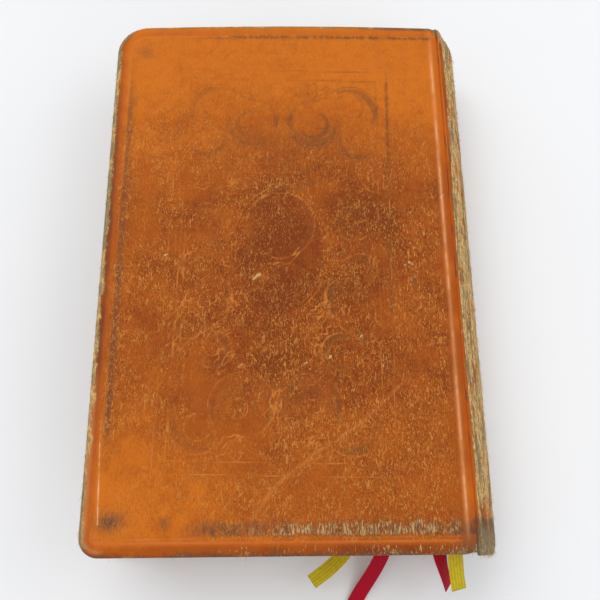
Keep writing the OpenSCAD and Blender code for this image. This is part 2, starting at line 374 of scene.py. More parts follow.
class Recipe(Nodes):
    """A tree of geometry nodes with named inputs, laid on a starting mesh and then made plain."""

    family = "GeometryNode"

    def __init__(self, name, **inputs):
        self.tree = bpy.data.node_groups.new(name, "GeometryNodeTree")
        self.keys = {}
        for label, kind in {"Geometry": "Geometry", **inputs, "Material": "Material"}.items():
            kind = "NodeSocket" + kind
            socket = self.tree.interface.new_socket(label, in_out="INPUT", socket_type=kind)
            self.keys[label] = socket.identifier
        start = self.tree.nodes.new("NodeGroupInput").outputs
        self.start = {label: Tone(self, start[label]) for label in self.keys}

    def close(self, geometry):
        """End the tree: instances made real, then the material."""
        real = self.node("RealizeInstances", {"Geometry": geometry})
        dressed = {"Geometry": real, "Material": self.start["Material"]}
        dressed = self.node("SetMaterial", dressed)
        kind = "NodeSocketGeometry"
        self.tree.interface.new_socket("Geometry", in_out="OUTPUT", socket_type=kind)
        self.feed(self.tree.nodes.new("NodeGroupOutput").inputs[0], dressed)

    def lay(self, name, mesh, **values):
        """A plain mesh object of what the tree makes from a starting mesh."""
        carrier = bpy.data.objects.new(name + "_start", mesh)
        scene.collection.objects.link(carrier)
        modifier = carrier.modifiers.new("recipe", "NODES")
        modifier.node_group = self.tree
        for label, value in values.items():
            modifier[self.keys[label]] = value
        graph = bpy.context.evaluated_depsgraph_get()
        plain = bpy.data.meshes.new_from_object(carrier.evaluated_get(graph), depsgraph=graph)
        bpy.data.objects.remove(carrier)
        made = bpy.data.objects.new(name, plain)
        scene.collection.objects.link(made)
        return made


def leaf_recipe():
    """Thin sheets on the points of a mesh, a little cockled."""
    counts = {"Columns": "Int", "Rows": "Int"}
    recipe = Recipe("leaf_stack", Width="Float", Height="Float", Thickness="Float", **counts)
    start = recipe.start
    size = {"X": start["Width"], "Y": start["Height"], "Z": start["Thickness"]}
    sheet = {"Size": recipe.node("ShaderNodeCombineXYZ", size), "Vertices Z": 2}
    sheet |= {"Vertices X": start["Columns"], "Vertices Y": start["Rows"]}
    laid = {"Points": start["Geometry"], "Instance": recipe.node("MeshCube", sheet)}
    laid = recipe.node("RealizeInstances", {"Geometry": recipe.node("InstanceOnPoints", laid)})
    flat = {0: recipe.node("InputPosition", {}), 1: (1, 1, 0)}
    flat = recipe.node("ShaderNodeVectorMath", flat, operation="MULTIPLY")
    cockle = (recipe.noise(flat, 45.0, 1.0, 0.5) - 0.5) * (0.05 * MM)
    lift = recipe.node("ShaderNodeCombineXYZ", {"Z": cockle})
    recipe.close(recipe.node("SetPosition", {"Geometry": laid, "Offset": lift}))
    return recipe


def paper(name, light, aged, edge):
    """Aged rag paper: cloudy, faintly fibrous, and browner at its edges."""
    finish = Finish(name, Roughness=0.88)
    place = finish.place()
    cloud = finish.noise(place, 0.06, 4.0)
    fibre = finish.noise(finish.place(0.7, 5.0, 5.0), 1.0, 4.0)
    x, y, z = finish.parts(place)
    browned = finish.maths("ABSOLUTE", y, 0).above(page_h / 2 - 9, page_h / 2)
    browned = finish.maths("MAXIMUM", browned, (0 - x).above(40, 52))
    leaf_lines = (z + finish.noise(place, 0.3, 2.0) * 0.2).wave(leaf_pitch * 2)
    colour = finish.over(
        aged, ((cloud * 0.7 + fibre * 0.4).above(0.35, 0.75), light),
        (browned * cloud.above(0.3, 0.8) * 0.7, edge),
    )
    relief = finish.bump(fibre + leaf_lines * 0.25, 0.35, 0.0001)
    finish.shade(Base_Color=colour, Normal=relief)
    return finish.material


leaf_paper = paper("leaf_paper", (0.71, 0.63, 0.46), (0.6, 0.5, 0.34), (0.38, 0.27, 0.15))
end_paper = paper("end_paper", (0.66, 0.6, 0.47), (0.52, 0.44, 0.31), (0.33, 0.24, 0.15))
leaf_stack = leaf_recipe()
ragged = np.random.default_rng(11)


def section_floor(number):
    """How high the lowest leaf of a section starts."""
    ribbons = sum(number > n for n in ribbon_after)
    return section_low + (number - 1) * section_pitch + ribbons * ribbon_room + 0.015


def fold_of(number):
    """Where a section's fold lies on the rounded back."""
    high = section_floor(number) + half_section - mid_z
    return spine_x + sqrt((back_radius - half_section) ** 2 - high**2)


def stack(name, numbers, bending=False):
    """All the leaves of some sections. Every leaf ends at one length from its section's fold."""
    mesh = bpy.data.meshes.new(name)
    places = []
    for number in numbers:
        fore = fold_of(number) + half_section - page_w
        back = min(fold_of(number), fold_end) if bending else fold_of(number)
        for sheet in range(leaves_each):
            out, up = (ragged.uniform(-rag, rag) for rag in leaf_rag)
            high = section_floor(number) + (sheet + 0.5) * leaf_pitch
            places.append(((fore + back) / 2 + out + leaf_rag[0], up, high))
    wide = back - fore - 0.25 if bending else page_w - half_section - 0.3
    mesh.from_pydata((np.array(places) * MM).tolist(), [], [])
    made = leaf_stack.lay(
        name, mesh, Width=wide * MM, Height=page_h * MM - 0.2 * MM, Thickness=leaf_t * MM,
        Columns=64 if bending else 8, Rows=16, Material=leaf_paper,
    )
    return made


leaves = stack("inner_leaves", range(2, 16))
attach(leaves, "text_block")
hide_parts(*[f"section_{n:02d}" for n in range(2, 16)])
turning = {16: "later_leaves", 17: "late_leaves", 18: "last_leaves", 1: "first_leaves"}
for number, body in turning.items():
    made = stack(body + "_paper", [number], bending=True)
    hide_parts(f"section_{number:02d}")
    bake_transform(made)


# ---------------------------------------------------------------- endpapers
# Heavier cream paper. Each is a folded sheet: one half is pasted to the board, the other turns as
# a flyleaf, and the fold lies in the joint.
fly_t, fly_fore = 0.22, -51.2


def dress(node, material):
    """Give a CAD node its material."""
    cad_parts[node].data.materials.clear()
    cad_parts[node].data.materials.append(material)


for side, high in (("back", 26.075), ("front", 3.725)):
    mesh = bpy.data.meshes.new(side)
    mesh.from_pydata([((fold_end + fly_fore) / 2 * MM, 0, high * MM)], [], [])
    flyleaf = leaf_stack.lay(
        side + "_flyleaf_sheet", mesh, Width=(fold_end - fly_fore) * MM, Height=page_h * MM,
        Thickness=fly_t * MM, Columns=64, Rows=16, Material=end_paper,
    )
    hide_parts(side + "_flyleaf")
    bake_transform(flyleaf)
    dress(side + "_pastedown", end_paper)

    strip = [(42.8, 26.33), (43.4, 26.31), (43.9, 26.26), (44.3, 26.19)]
    strip += [(44.7, 26.1), (45.1, 25.98)]
    strip = strip + [(x + 0.03, z + 0.16) for x, z in strip[::-1]]
    if side == "front":
        strip = [(x, 2 * mid_z - z) for x, z in strip]
    points = [(x, y, z) for y in (-75.5, 75.5) for x, z in strip]
    n = len(strip)
    faces = [(k, (k + 1) % n, n + (k + 1) % n, n + k) for k in range(n)]
    faces += [tuple(range(n))[::-1], tuple(range(n, 2 * n))]
    fold = solid(side + "_endpaper_fold", points, faces, end_paper)
    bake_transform(fold)


# ---------------------------------------------------------------- sewing, linings and boards
# Linen thread round three linen tapes, gauze and paper glued on the back, a paper tube that lets
# the spine open, pulp boards, and a wad of felt that makes the covers soft.
def cloth(name, light, dark, pitch, strong):
    """Plain woven or fibrous stuff with a thread every pitch."""
    finish = Finish(name, Roughness=0.9)
    place = finish.place()
    x, y, z = finish.parts(place)
    weave = y.wave(pitch) * (x + z).wave(pitch)
    slub = finish.noise(place, 0.8, 4.0)
    finish.shade(
        Base_Color=finish.mix((weave * 0.6 + slub * 0.6).above(0.2, 0.85), dark, light),
        Normal=finish.bump(weave + slub, strong, 0.00015),
    )
    return finish.material


inner_stuffs = {
    cloth("linen_tape", (0.62, 0.55, 0.42), (0.4, 0.33, 0.23), 0.5, 0.6): ["sewing_tapes"],
    cloth("linen_thread", (0.7, 0.63, 0.5), (0.46, 0.39, 0.28), 0.3, 0.5): ["sewing_thread"],
    cloth("gauze", (0.6, 0.54, 0.43), (0.3, 0.25, 0.18), 0.9, 0.8): ["mull"],
    cloth("back_paper", (0.42, 0.31, 0.19), (0.3, 0.21, 0.12), 1.7, 0.3):
        ["spine_lining", "hollow_tube", "spine_inlay"],
    cloth("pulp_board", (0.36, 0.31, 0.25), (0.24, 0.2, 0.15), 2.3, 0.5):
        ["back_board", "front_board"],
    leaf_paper: ["sewn_folds"],
}
for material, nodes in inner_stuffs.items():
    for node in nodes:
        dress(node, material)


def grid_faces(rows, cols):
    """The faces of a grid of points."""
    starts = [r * cols + c for r in range(rows - 1) for c in range(cols - 1)]
    return [(k, k + 1, k + cols + 1, k + cols) for k in starts]


def grid_rim(rows, cols):
    """The points round the rim of a grid, in order."""
    last = rows * cols - 1
    rim = [*range(cols - 1), *range(cols - 1, last, cols)]
    return rim + [*range(last, last - cols + 1, -1), *range(last - cols + 1, 0, -cols)]


felt = cloth("felt_wad", (0.55, 0.52, 0.46), (0.4, 0.37, 0.32), 1.3, 0.7)
felt_cols, felt_rows = 40, 60
for side in ("back", "front"):
    low, high = (Vector(c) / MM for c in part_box(side + "_padding"))
    across = np.linspace(low.x, high.x, felt_cols)
    along = np.linspace(low.y, high.y, felt_rows)
    grid_y, grid_x = np.meshgrid(along, across, indexing="ij")
    far = np.minimum(grid_x - low.x, high.x - grid_x)
    far = np.minimum(far, np.minimum(grid_y - low.y, high.y - grid_y))
    crown = 0.08 + 0.22 * np.clip(far / 2.5, 0, 1) ** 0.5 + 0.05 * np.clip(far / 40, 0, 1)
    middle = (low.z + high.z) / 2
    skins = [np.stack([grid_x, grid_y, middle + way * crown], -1) for way in (1, -1)]
    points = np.concatenate(skins).reshape(-1, 3)
    size = felt_cols * felt_rows
    faces = grid_faces(felt_rows, felt_cols)
    faces += [tuple(size + q for q in quad[::-1]) for quad in faces]
    rim = grid_rim(felt_rows, felt_cols)
    faces += [(a, size + a, size + b, b) for a, b in zip(rim, rim[1:] + rim[:1])]
    wad = solid(side + "_felt", points, faces, felt)
    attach(wad, side + "_cover")
    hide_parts(side + "_padding")


# ---------------------------------------------------------------- headbands and cap cords
# Silk in two colours wound round a thin cord, glued to the back of the leaves at head and tail.
# A plain cord fills each cap of the spine leather.
band_line, band_y, band_arc = 12.58, 77.15, radians(40)
cap_line, cap_y, cap_arc = 14.25, 76.9, radians(44)


def silk_recipe():
    """Rings of thread along a line, in stripes of four."""
    recipe = Recipe("silk_winding", Turns="Int", Core="Float", Thread="Float")
    line = recipe.node("MeshToCurve", {"Mesh": recipe.start["Geometry"]})
    line = {"Curve": line, "Count": recipe.start["Turns"]}
    spots = recipe.node("CurveToPoints", line, mode="COUNT")
    turned = Tone(recipe, spots.socket.node.outputs["Rotation"])
    order = recipe.node("InputIndex", {})
    stripe = recipe.maths("GREATER_THAN", recipe.maths("MODULO", order, 8.0), 3.5)
    marked = {"Geometry": spots, "Name": "stripe", "Value": stripe}
    marked = recipe.node("StoreNamedAttribute", marked, data_type="FLOAT")
    ring = {"Resolution": 12, "Radius": recipe.start["Core"]}
    ring = recipe.node("CurvePrimitiveCircle", ring)
    thread = {"Resolution": 5, "Radius": recipe.start["Thread"]}
    thread = recipe.node("CurvePrimitiveCircle", thread)
    ring = recipe.node("CurveToMesh", {"Curve": ring, "Profile Curve": thread})
    wound = {"Points": marked, "Instance": ring, "Rotation": turned}
    recipe.close(recipe.node("InstanceOnPoints", wound))
    return recipe


def silk():
    finish = Finish("band_silk", Sheen_Weight=0.3)
    glint = finish.noise(finish.place(), 3.0, 3.0)
    red = finish.mix(glint, (0.3, 0.02, 0.02), (0.42, 0.05, 0.04))
    cream = finish.mix(glint, (0.52, 0.43, 0.28), (0.68, 0.6, 0.42))
    colour = finish.mix(finish.value_of("stripe"), cream, red)
    finish.shade(Base_Color=colour, Roughness=0.62 - glint * 0.2)
    return finish.material


def arc_mesh(line, high, reach):
    """A line of points round the back, as a mesh of edges."""
    mesh = bpy.data.meshes.new("line")
    turns = np.linspace(-reach, reach, 41)
    points = [(spine_x + line * cos(a), high, mid_z + line * sin(a)) for a in turns]
    mesh.from_pydata((np.array(points) * MM).tolist(), [(k, k + 1) for k in range(40)], [])
    return mesh


silk_winding = silk_recipe()
band_silk = silk()
cap_twine = cloth("cap_twine", (0.6, 0.52, 0.38), (0.36, 0.3, 0.2), 0.7, 0.6)
windings = (
    # name, line, height, half its arc, turns, core, thread, material, slot, replaced node
    ("band_silk", band_line, band_y, band_arc, 72, 0.76, 0.14, band_silk, "silk_band", "band"),
    ("band_core", band_line, band_y, band_arc * 1.02, 120, 0.6, 0.12, cap_twine, "thread", ""),
    ("cap_twine", cap_line, cap_y, cap_arc, 150, 0.38, 0.12, cap_twine, "thread", "cap_cord"),
)
for place, way in (("head", 1), ("tail", -1)):
    for name, line, high, reach, turns, core, thread, stuff, slot, node in windings:
        made = silk_winding.lay(
            place + name, arc_mesh(line, way * high, reach), Turns=turns, Core=core * MM,
            Thread=thread * MM, Material=stuff,
        )
        made.data.shade_smooth()
        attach(made, "text_block")
        if node:
            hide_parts(place + node)


# ---------------------------------------------------------------- cover leather
# Dyed goatskin over each padded board, turned in over three edges and pasted down inside. A blind
# tool line runs inside the rounded rim, and panels of scrolls are pressed into the face. The dye is
# rubbed off the rims, the grain is scuffed, and dirt lies in the pressed lines.
# Painted highlights lie along the joint ridge, the tool line's lip, the fore-edge roll and the
# pressed lines, and a painted shade along the fore-edge roll.
book_t = 29.8
fore_x, spine_edge = -54.0, 47.2
head_y = 79.0
equator = 28.05
face_rise = 1.5
roll_w, roll_h = 2.6, 1.35
head_corner, tail_corner = 9.0, 5.2
head_bulge, bulge_half = 1.1, 53
line_in, line_w, line_deep = 3.95, 0.75, 0.24
ridge_x = 43.9


def ease(low, high, value):
    """0 below low, 1 above high and smooth between them."""
    share = np.clip((value - low) / (high - low), 0, 1)
    return share * share * (3 - 2 * share)


def bell(value, middle, width):
    return np.exp(-(((value - middle) / width) ** 2))


def cloud(x, y, size, seed, octaves=3):
    """Smooth random values between 0 and 1, size millimetres from one to the next."""
    total, weight = 0, 0
    for octave in range(octaves):
        table = np.random.default_rng(seed * 10 + octave).random((128, 128))
        slant = 0.6 + 1.1 * octave
        u = (x * cos(slant) + y * sin(slant)) / size * 2**octave
        v = (y * cos(slant) - x * sin(slant)) / size * 2**octave
        i, j = np.floor(u).astype(int), np.floor(v).astype(int)
        u, v = ease(0, 1, u - i), ease(0, 1, v - j)
        low = table[i % 128, j % 128] * (1 - u) + table[(i + 1) % 128, j % 128] * u
        high = table[i % 128, (j + 1) % 128] * (1 - u) + table[(i + 1) % 128, (j + 1) % 128] * u
        total = total + (low * (1 - v) + high * v) * 0.6**octave
        weight += 0.6**octave
    return total / weight


def old_leather():
    """Orange goatskin whose wear, dirt, painted shade, painted highlights, scratches and colour
    follow what is painted on its points.
    """
    finish = Finish("old_leather", Specular_IOR_Level=0.07)
    place = finish.place()
    tone, wear, dirt, fresh, fleck, tooling, pale, frayed, drawn = map(
        finish.value_of,
        ("tone", "wear", "dirt", "fresh", "fleck", "tooling", "pale", "frayed", "drawn"),
    )
    mottle = finish.noise(place, 0.3, 5.0, 0.62)
    streak = finish.noise(finish.place(2.8, 0.7, 2.8), 1.0, 4.0, 0.6)
    pebble = finish.noise(finish.place(1.2, 0.8, 1.2), 2.1, 3.0, 0.6)
    dashes = finish.noise(finish.place(1.9, 0.55, 1.9), 1.0, 2.0, 0.5, 1.6)
    slants = finish.noise(finish.place(1.3, 0.9, 1.3), 1.0, 2.0, 0.6, 2.8)
    teeth = finish.noise(finish.place(2.4, 0.42, 2.4), 1.0, 3.0, 0.6, 0.3)
    scuffed = finish.noise(finish.place(1.7, 0.8, 1.7), 1.2, 5.0, 0.7)

    rough = 0.3 + fleck * 0.9
    grain = ((streak - 0.5) * 0.8 + (pebble - 0.5) * 0.9) * rough
    deep = (tone + (mottle - 0.5) * 0.5 + grain).held()
    # the dirt and the painted shade of the fore-edge roll, made patchy
    soiled_and_shaded = (dirt + (mottle - 0.5) * dirt * 1.2 + (streak - 0.5) * dirt * 1.6).held()
    flecks = (dashes.above(0.55, 0.66) * 0.75 + slants.above(0.57, 0.67) * 0.75).held()
    pits = (1 - pebble).above(0.57, 0.72) * rough
    colour = finish.over(
        (0.6, 0.153, 0.011),
        (deep.above(0.0, 0.5), (0.375, 0.082, 0.008)),
        (deep.above(0.45, 1.0), (0.185, 0.034, 0.006)),
        ((fresh + (mottle - 0.5) * 0.3).held(), (0.52, 0.1, 0.01)),
        ((tooling * (0.35 + streak)).held(), (0.17, 0.06, 0.017)),
        (soiled_and_shaded, (0.15, 0.062, 0.03)),
        (flecks * fleck, (0.6, 0.25, 0.05)),
        ((pits * 0.9).held(), (0.15, 0.034, 0.008)),
    )

    torn = ((teeth - 0.5) * 3.0 + (scuffed - 0.5) * 1.2 + frayed * 1.0 - 0.72).above(0.1, 0.6)
    torn = torn * frayed.above(0.02, 0.3)
    rubbed = ((wear * 1.25 + (scuffed - 0.5) * 1.5 - 0.1).above(0.32, 0.72) + torn).held()
    hide = finish.mix(streak.above(0.34, 0.62), (0.32, 0.2, 0.075), (0.74, 0.5, 0.2))
    hide = finish.over(
        finish.mix(pebble.above(0.3, 0.5), (0.23, 0.14, 0.055), hide),
        (mottle.above(0.5, 0.75) * 0.45, (0.5, 0.2, 0.06)),
        (fleck.above(0.05, 0.3) * 0.8, (0.62, 0.36, 0.13)),
        (torn * 0.6, (0.55, 0.38, 0.18)),
        ((dirt * 0.9).held() * (1 - torn * 0.7), (0.17, 0.135, 0.08)),
    )
    # the colour of the painted highlights and the pale scratches; the strongest turn a pinkish
    # white, a painted glint
    highlight_and_scratch_colour = finish.mix(fleck.above(0.1, 0.4), (0.8, 0.31, 0.11), (0.64, 0.22, 0.05))
    highlight_and_scratch_colour = finish.mix(pale.above(0.6, 1.0), highlight_and_scratch_colour, (0.86, 0.46, 0.24))
    fine_line = drawn.above(0.49, 0.86) * 0.9 * mottle.above(0.34, 0.62)
    colour = finish.over(
        colour,
        (rubbed, hide),
        ((pale * (0.35 + streak)).held(), highlight_and_scratch_colour),
        (fine_line, (0.58, 0.185, 0.032)),
    )

    height = pebble * 0.7 + streak * 0.45 + flecks * fleck * 0.3 + rubbed * scuffed * 0.9
    finish.shade(
        Base_Color=colour,
        Roughness=(0.62 + rubbed * 0.3 - pale * 0.15 - fresh * 0.1 + (pebble - 0.5) * 0.2).held(),
        Coat_Weight=((1 - rubbed) * (pale.above(0.5, 1.0) * 0.25 + fresh * 0.05)).held(),
        Normal=finish.bump(height, 0.7, 0.0002),
    )
    return finish.material


leather = old_leather()


def turned(points, about, angle):
    """Points turned about a centre by an angle in radians."""
    points, about = np.asarray(points, float) - about, np.asarray(about, float)
    spin = np.array([[cos(angle), sin(angle)], [-sin(angle), cos(angle)]])
    return points @ spin + about


def dense(points, gap=0.22):
    """The same line with a point at least every gap millimetres."""
    points = np.asarray(points, float)
    out = [points[:1]]
    for a, b in zip(points[:-1], points[1:]):
        count = max(1, int(np.ceil(np.linalg.norm(b - a) / gap)))
        out.append(a + (b - a) * (np.arange(1, count + 1) / count)[:, None])
    return np.concatenate(out)


def arc(x, y, wide, high, start, stop, thin=0):
    """An arc round a centre, angles in degrees, drawn in by thin at its middle."""
    t = np.linspace(0, 1, 60)
    angle = np.radians(start + (stop - start) * t)
    reach = 1 - thin / wide * np.sin(t * pi)
    return np.stack([x + wide * reach * np.cos(angle), y + high * reach * np.sin(angle)], 1)


def crescent(x, y, size, start, stop, thick, count=5):
    """A moon-shaped stroke, full in its middle and thin at its ends."""
    shares = np.linspace(0, thick, count)
    return [arc(x, y, size, size, start, stop, share) for share in shares]


def leaf(foot, tip, belly, lobes=4):
    """A long acanthus leaf, as its two lobed edges and its rib."""
    foot, tip = np.asarray(foot, float), np.asarray(tip, float)
    run = tip - foot
    side = np.array([-run[1], run[0]]) / np.linalg.norm(run)
    t = np.linspace(0, 1, 50)[:, None]
    bend = side * np.sin(t * pi) * belly * 0.6
    swell = np.sin(t * pi) ** 0.7 * (1 + 0.3 * np.sin(t * lobes * 2 * pi)) * belly
    rib = foot + run * t + bend
    return [rib[14:38], rib + side * swell * 1.25, rib - side * swell * 1.05]


# Half the ornament, in millimetres from its own middle; the other half mirrors it. From head to
# tail: two broad scrolls, a bracket over two ovals, a chain of scrolls, and two larger scrolls.
moons = (
    (8.9, 42.5, 7.4, 130, 375, 2.0), (9.6, 42.2, 4.4, 210, 430, 1.2),
    (20.5, 47.5, 7.6, -30, 120, 1.6), (22.2, 36.5, 5.2, 150, 330, 1.3),
    (0, 9.5, 9.2, -60, 60, 0.7, 3),
    (9, -42.5, 8.0, -30, 235, 1.9), (9.8, -43, 4.8, 0, 220, 1.4),
    (20.5, -48, 6.6, -120, 30, 1.5),
)
arcs = (
    (8.9, 42.5, 8.2, 8.2, 100, 385), (11.4, 44.4, 4.4, 3.2, 190, 320),
    (20.5, 47.5, 8.6, 8.6, -40, 130), (20, 49, 4.4, 4.4, -60, 150),
    (22.2, 36.5, 6.1, 6.1, 140, 340), (23.4, 38.2, 2.4, 2.4, 0, 300),
    (0, 9.5, 9.9, 10.1, -90, 90), (0, 2, 13.6, 19.5, -90, 78), (0, 2, 12.6, 18.4, -90, 80),
    (0, -7.5, 7.4, 5.4, -90, 90), (0, -7.5, 6.2, 4.3, -90, 90),
    (9, -42.5, 8.9, 8.9, -40, 240), (10, -43.4, 2.7, 2.7, 40, 380),
    (20.5, -48, 7.5, 7.5, -130, 40), (20.3, -48.4, 3.6, 3.6, -150, 120),
)
side_scrolls = (
    (21, 10.5, 4.6, 40, 300), (16.8, 2.5, 2.9, 210, 420), (23.2, -3.5, 3.8, -60, 150),
    (18.6, -12.5, 5.2, 20, 250), (24.4, -21, 3.0, 180, 400), (17.2, -27.5, 4.4, 60, 300),
)
stems = (
    ((0, 22.2), (4.2, 22.6), (8.2, 24.6), (12.2, 23.9), (15.4, 20.6)),
    ((0, -1.2), (3.4, 0), (5.6, 2.8)),
    ((0, -3.0), (3.4, -1.8), (5.6, 1.0)),
    ((17, 15.5), (14.8, 9), (14.6, 2), (17.5, -4), (22, -8)),
    ((14, -6), (13.2, -13), (15.4, -19), (20.5, -23)),
    ((25.5, 6.5), (27, 1.5), (26.6, -9)),
    ((24.6, -10), (27, -15.5), (26.2, -28)),
)
bracket = ((0, 20.8), (4.5, 21.2), (8.5, 23.2), (11.5, 22.6), (14.2, 20))
sprays = (
    # foot, belly, lobes, tips
    ((9.4, 50.8), 1.3, 3, ((3.6, 56), (9.6, 57.3), (15.6, 55))),
    ((0, 26), 2.2, 5, ((1.5, 49),)),
    ((1, 24), 1.4, 3, ((5.2, 34.5),)),
    ((14.2, 22.5), 1.5, 3, ((12.5, 36.5), (18.5, 34.5), (23.6, 29), (25.8, 21))),
    ((14.5, 8), 1.3, 4, ((11.5, 1.5),)),
    ((14, -13), 1.5, 4, ((9, -17.5),)),
    ((13.6, -16), 1.7, 4, ((8.2, -24),)),
    ((26.5, 3), 1.0, 4, ((25.2, -8.5),)),
    ((27, -24), 1.2, 4, ((24.6, -32.5),)),
    ((20, -19), 1.2, 4, ((26.8, -14),)),
    ((0, -24), 1.6, 4, ((2.6, -35.5),)),
    ((0, -54), 1.6, 4, ((0.8, -38),)),
    ((9, -50.5), 1.3, 3, ((4, -56), (9.6, -57.4), (15, -56))),
    ((11, -25.5), 1.5, 3, ((9.4, -32), (15.5, -34.5))),
)


def press_lines():
    """The pressed pattern of one half of a cover, as its broad and its fine lines."""
    fine = [arc(*numbers) for numbers in arcs] + list(stems)
    for inset in (0, 3.3):
        x, top, low = 31.6 - inset, 61.5 - inset, inset - 60.5
        fine.append([(0, top), (x, top), (x, low), (0, low)])
    broad = [bracket]
    for numbers in moons:
        broad += crescent(*numbers)
    for x, y, size, start, stop in side_scrolls:
        broad += crescent(x, y, size, start, stop, size * 0.24)
        fine.append(arc(x, y, size + 0.8, size + 0.8, start + 20, stop + 15))
        fine.append(arc(x + 0.4, y, size * 0.4, size * 0.4, start, start + 250))
    for foot, belly, lobes, tips in sprays:
        for tip in tips:
            fine += leaf(foot, tip, belly, lobes)
    return broad, fine


def press_depth(x, y):
    """How near each point lies to the broad and the fine lines, 1 on a line. The third value
    falls off slowly from the fine lines, for drawing them."""
    lean, middle = radians(-1.4), np.array((-3.5, 1.0))
    broad_w, fine_w, trace_w = 0.45, 0.24, 0.6
    found = []
    for lines, width in zip(press_lines(), (broad_w, fine_w)):
        half = np.concatenate([dense(line) for line in lines])
        both = np.concatenate([half, half * (-1, 1)])
        placed = turned(both + middle, middle, lean)
        tree = kdtree.KDTree(len(placed))
        for k, (u, v) in enumerate(placed):
            tree.insert((u, v, 0), k)
        tree.balance()
        far = np.array([tree.find((u, v, 0))[2] for u, v in zip(x, y)])
        found.append(bell(far, 0, width))
    return found + [np.clip(1 - far / trace_w, 0, 1)]


def stroke(x, y, line, width):
    """How near each point lies to a short line of stops."""
    best = np.full(x.shape, 99.0)
    for (ax, ay), (bx, by) in zip(line[:-1], line[1:]):
        run = (bx - ax) ** 2 + (by - ay) ** 2
        t = np.clip(((x - ax) * (bx - ax) + (y - ay) * (by - ay)) / run, 0, 1)
        best = np.minimum(best, np.hypot(x - ax - t * (bx - ax), y - ay - t * (by - ay)))
    return bell(best, 0, width)


def paint(made, values):
    """Write painted values on the points of a piece."""
    for name, value in values.items():
        layer = made.data.attributes.new(name, "FLOAT", "POINT")
        full = np.zeros(len(made.data.vertices), np.float32)
        full[: len(value)] = value
        layer.data.foreach_set("value", full)


def runs(*stops):
    """Positions from stop to stop; each stop is (place, pace up to the next)."""
    parts = []
    for (place, pace), (ahead, _) in zip(stops[:-1], stops[1:]):
        count = max(1, round(abs(ahead - place) / pace))
        parts.append(np.linspace(place, ahead, count, endpoint=False))
    return np.concatenate([*parts, [stops[-1][0]]])


def rounded(u, v):
    """Square corners at the fore-edge turned into quarter circles, and those at the joint
    eased. The head edge is a little convex."""
    corner = np.where(v > 0, head_corner, tail_corner)
    a, b = np.maximum(fore_x + corner - u, 0), np.maximum(np.abs(v) - head_y + corner, 0)
    both = (a > 0) & (b > 0)
    reach = np.maximum(a, b)
    low = np.minimum(a, b) / np.where(reach > 0, reach, 1) * pi / 4
    angle = np.where(a >= b, low, pi / 2 - low)
    x = np.where(both, fore_x + corner - reach * np.cos(angle), u)
    y = np.where(both, np.sign(v) * (head_y - corner + reach * np.sin(angle)), v)
    drop = np.where(v > 0, 0.004, 0.013)
    y = y * (1 - drop * ease(42.5, spine_edge + 1, x) * ease(60, head_y, np.abs(y)))
    y = y + head_bulge * np.clip(1 - (x / bulge_half) ** 2, 0, 1) * ease(62, head_y, y)
    return x, y


def cover_heights(x, y, edge, patches, pressed):
    """How high the outside of the leather stands."""
    out = 1 - np.clip(edge / roll_w, 0, 1)
    rim = equator + roll_h * np.sqrt(1 - out**2) + 0.15 * ease(roll_w, 4, edge)
    rim += 0.1 * ease(4.2, 14, edge) + 0.08 * ease(10, 50, edge)
    groove = -line_deep * bell(edge, line_in, line_w) + 0.09 * bell(edge, line_in + 1.0, 0.45)
    ridge = 0.2 * bell(x, ridge_x, 0.7) - 0.03 * bell(x, ridge_x - 1.8, 0.8)
    joint = -1.3 * ease(ridge_x + 0.2, 46.3, x) + 0.1 * ease(46.4, 47.1, x)
    inner = 1 - ease(ridge_x - 2.5, ridge_x - 0.5, x)
    side = 1 + (ridge + joint) / face_rise
    high = equator + (rim - equator + groove * inner) * side
    broad, fine, _ = pressed
    on_face = ease(4.5, 6, edge) * inner
    high -= on_face * (0.1 * broad + 0.06 * fine)
    high += on_face * (0.16 * (patches(17, 0) - 0.5) + 0.05 * (patches(4, 1) - 0.5))
    worn = 1 - ease(0.2, 2.8, edge)
    high += worn * 0.22 * (patches(1.6, 2) - 0.5) * ease(0.0, 0.6, edge)
    return high


scratch_long = [(29.2, -35.8), (17.6, -46.4), (4.9, -54.6), (-4.4, -61.5), (-10.5, -70.2)]
fore_highlight_line = [(-50.2, -40), (-50.1, -52), (-49.6, -62), (-49.1, -71)]
scratch_short = [(-23.6, -20.0), (-36.1, -30.6)]
dark_line = [(29.4, 58), (28.8, 35), (27.8, 2), (27.5, -16)]
scuff_spots = [
    (-11.2, -5.6, 1.2), (-9.4, -4.6, 0.8), (34.0, -1.6, 0.9), (32.2, -2.0, 0.8),
    (-49.4, -1.6, 0.8), (-4, -1, 0.5), (8.6, -3.4, 0.5), (-10.6, -24, 0.5), (10, -28.6, 0.6),
    (3.4, -30, 0.5), (-14, -30.5, 0.6), (6.0, 17.2, 0.7), (24.5, -31, 0.8), (-35.5, 1.5, 0.6),
    (-17, 8, 0.6), (19, -22.5, 0.6),
]
stains = [  # x, y, squeeze, size, strength
    (-46.2, -70.4, 1.4, 3.4, 1.0), (-32.3, -70.8, 1, 1.3, 0.6), (34.2, -6.4, 0.7, 0.9, 0.8),
    (-45, 69, 1, 2.2, 0.45),
]


